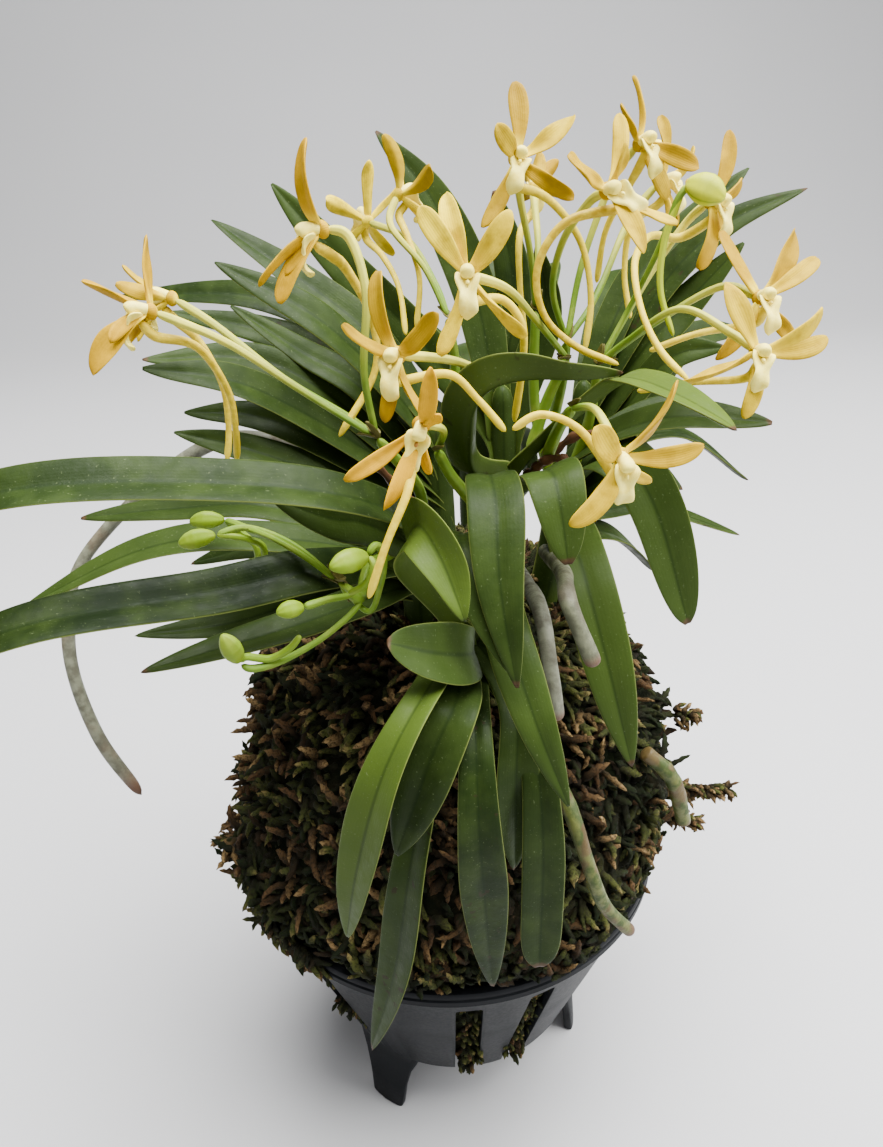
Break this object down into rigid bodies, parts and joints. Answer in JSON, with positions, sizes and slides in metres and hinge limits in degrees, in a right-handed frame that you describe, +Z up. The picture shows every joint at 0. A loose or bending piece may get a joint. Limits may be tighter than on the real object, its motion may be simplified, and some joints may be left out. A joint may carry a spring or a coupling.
{
  "type": "potted wind orchid",
  "caption": "Flowering wind orchid: a clump of curved leaves and long-spurred yellow blooms on a tall moss mound in a slotted basket pot with feet.",
  "frame": {"origin": "on the floor under the middle of the whole object's bounding box, level with the soles of the pot's feet", "axes": "+Z up; -Y towards the viewer of the picture, +X to the picture's right"},
  "size_m": [0.156, 0.1454, 0.2152],
  "materials": {
    "pot_plastic": "satin dark grey",
    "moss": "rough damp moss, brown and dark green",
    "leaf": "smooth waxy leaf",
    "flower_stalk": "smooth, pale green to cream",
    "petal": "soft satin, warm yellow",
    "lip": "soft satin, cream",
    "aerial_root": "silvery grey velamen"
  },
  "bodies": {
    "root": {"basket": "pot_plastic", "moss_mound": "moss", "shoot_front": "leaf", "shoot_front_low": "leaf", "shoot_left": "leaf", "shoot_back_left": "leaf", "shoot_back": "leaf", "shoot_right_back": "leaf", "shoot_right": "leaf", "shoot_rear": "leaf", "shoot_rear_right": "leaf", "spray_left": "flower_stalk", "spray_back_left": "flower_stalk", "spray_front": "flower_stalk", "spray_low_front": "flower_stalk", "spray_top": "flower_stalk", "spray_high_right": "flower_stalk", "spray_right": "flower_stalk", "spray_right_front": "flower_stalk", "spray_buds": "flower_stalk", "petals_01": "petal", "lip_01": "lip", "petals_02": "petal", "lip_02": "lip", "petals_03": "petal", "lip_03": "lip", "petals_04": "petal", "lip_04": "lip", "petals_05": "petal", "lip_05": "lip", "petals_06": "petal", "lip_06": "lip", "petals_07": "petal", "lip_07": "lip", "petals_08": "petal", "lip_08": "lip", "petals_09": "petal", "lip_09": "lip", "petals_10": "petal", "lip_10": "lip", "petals_11": "petal", "lip_11": "lip", "petals_12": "petal", "lip_12": "lip", "petals_13": "petal", "lip_13": "lip", "petals_14": "petal", "lip_14": "lip", "petals_15": "petal", "lip_15": "lip", "petals_16": "petal", "lip_16": "lip", "petals_17": "petal", "lip_17": "lip", "root_left_long": "aerial_root", "root_silver": "aerial_root", "root_grey": "aerial_root", "root_front_green": "aerial_root", "root_right_green": "aerial_root"}
  },
  "joints": []
}
